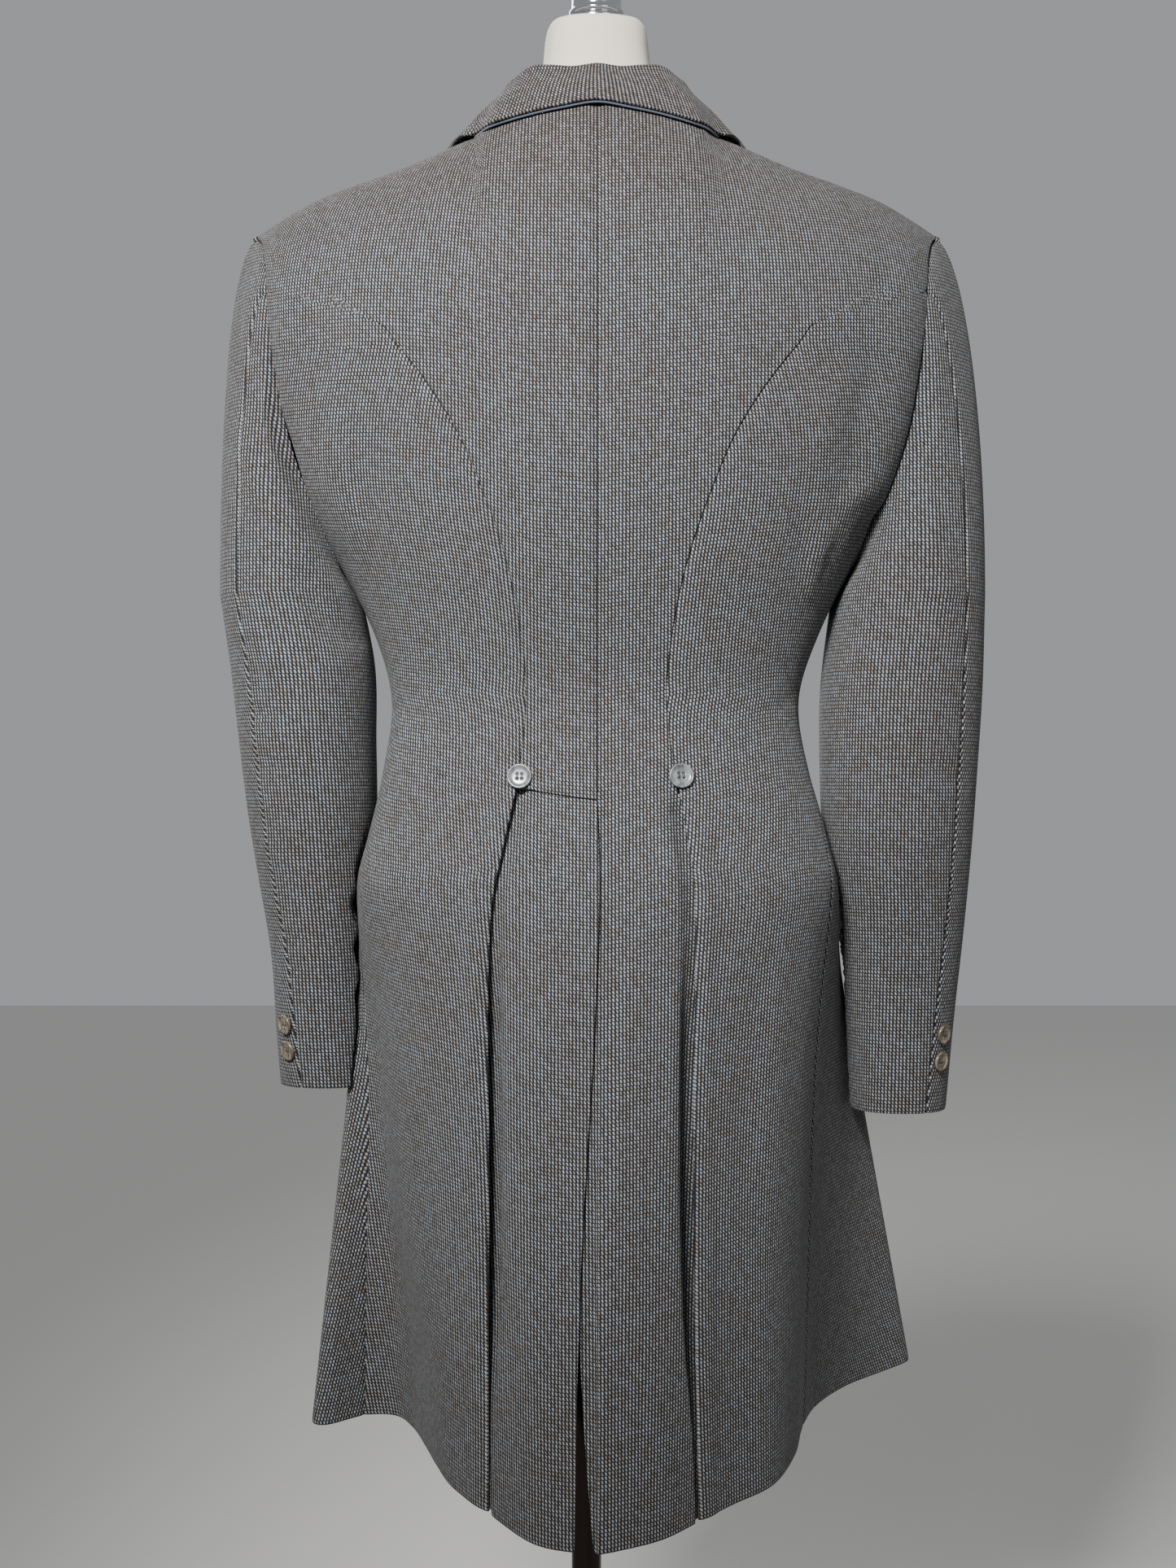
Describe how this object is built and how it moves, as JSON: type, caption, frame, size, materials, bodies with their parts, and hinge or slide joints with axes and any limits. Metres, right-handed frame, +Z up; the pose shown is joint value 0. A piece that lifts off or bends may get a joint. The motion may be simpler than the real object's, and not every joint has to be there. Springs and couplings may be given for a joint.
{
  "type": "frock coat on a dress form",
  "caption": "Knee-length wool frock coat with set-in sleeves, waist buttons and pleated skirt, on a limbless dress form with neck cap, pole and round base.",
  "frame": {"origin": "middle of the base's flat underside, on the floor under the pole", "axes": "+Z up the pole, +Y towards the coat's back, +X towards the wearer's left"},
  "size_m": [0.5698, 0.3639, 1.6093],
  "materials": {
    "wool": "matt tick-weave wool",
    "collar_felt": "matt wool felt",
    "grey_horn": "polished grey horn",
    "brown_horn": "polished brown horn",
    "form_cover": "plain cotton cover",
    "chrome": "polished",
    "dark_metal": "dark bronze, glossy",
    "painted_base": "satin dark paint"
  },
  "bodies": {
    "root": {"back_left": "wool", "back_right": "wool", "tail_left": "wool", "side_back_left": "wool", "side_back_right": "wool", "front_left": "wool", "front_right": "wool", "lapel_left": "wool", "lapel_right": "wool", "under_sleeve_left": "wool", "under_sleeve_right": "wool", "upper_sleeve_left": "wool", "upper_sleeve_right": "wool", "collar": "wool", "undercollar": "collar_felt", "back_button_left": "grey_horn", "back_button_right": "grey_horn", "cuff_button_left_1": "brown_horn", "cuff_button_left_2": "brown_horn", "cuff_button_right_1": "brown_horn", "cuff_button_right_2": "brown_horn", "front_button_1": "brown_horn", "front_button_2": "brown_horn", "front_button_3": "brown_horn", "form_torso": "form_cover", "neck_cap": "chrome", "pole": "dark_metal", "base": "painted_base"}
  },
  "joints": []
}
